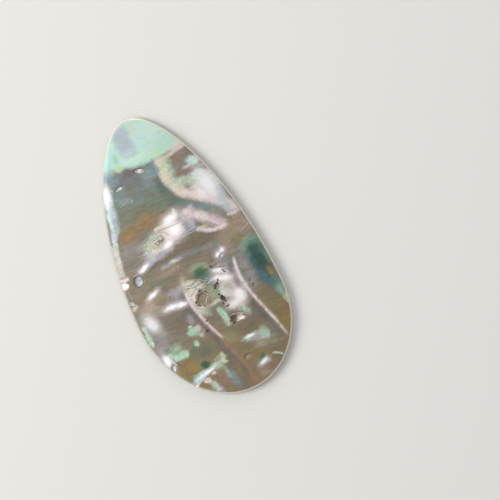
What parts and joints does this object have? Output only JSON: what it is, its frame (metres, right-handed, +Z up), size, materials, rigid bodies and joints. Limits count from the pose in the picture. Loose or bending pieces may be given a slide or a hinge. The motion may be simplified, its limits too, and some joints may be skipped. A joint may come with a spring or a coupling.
{
  "type": "abalone shell",
  "caption": "Egg-shaped piece of polished abalone shell with a low domed mother-of-pearl face and a flat ground border underneath to rest on; a small display piece, palm stone or inlay.",
  "frame": {"origin": "on the surface that the piece rests on, under the middle of its outline", "axes": "+Y towards the narrow tip, +Z up out of the domed face, +X across to the side whose edge is rounded least"},
  "size_m": [0.0406, 0.08, 0.0067],
  "materials": {
    "nacre": "polished mother-of-pearl, variegated silver, mint, olive brown and teal"
  },
  "bodies": {
    "root": {"abalone_shell": "nacre"}
  },
  "joints": []
}
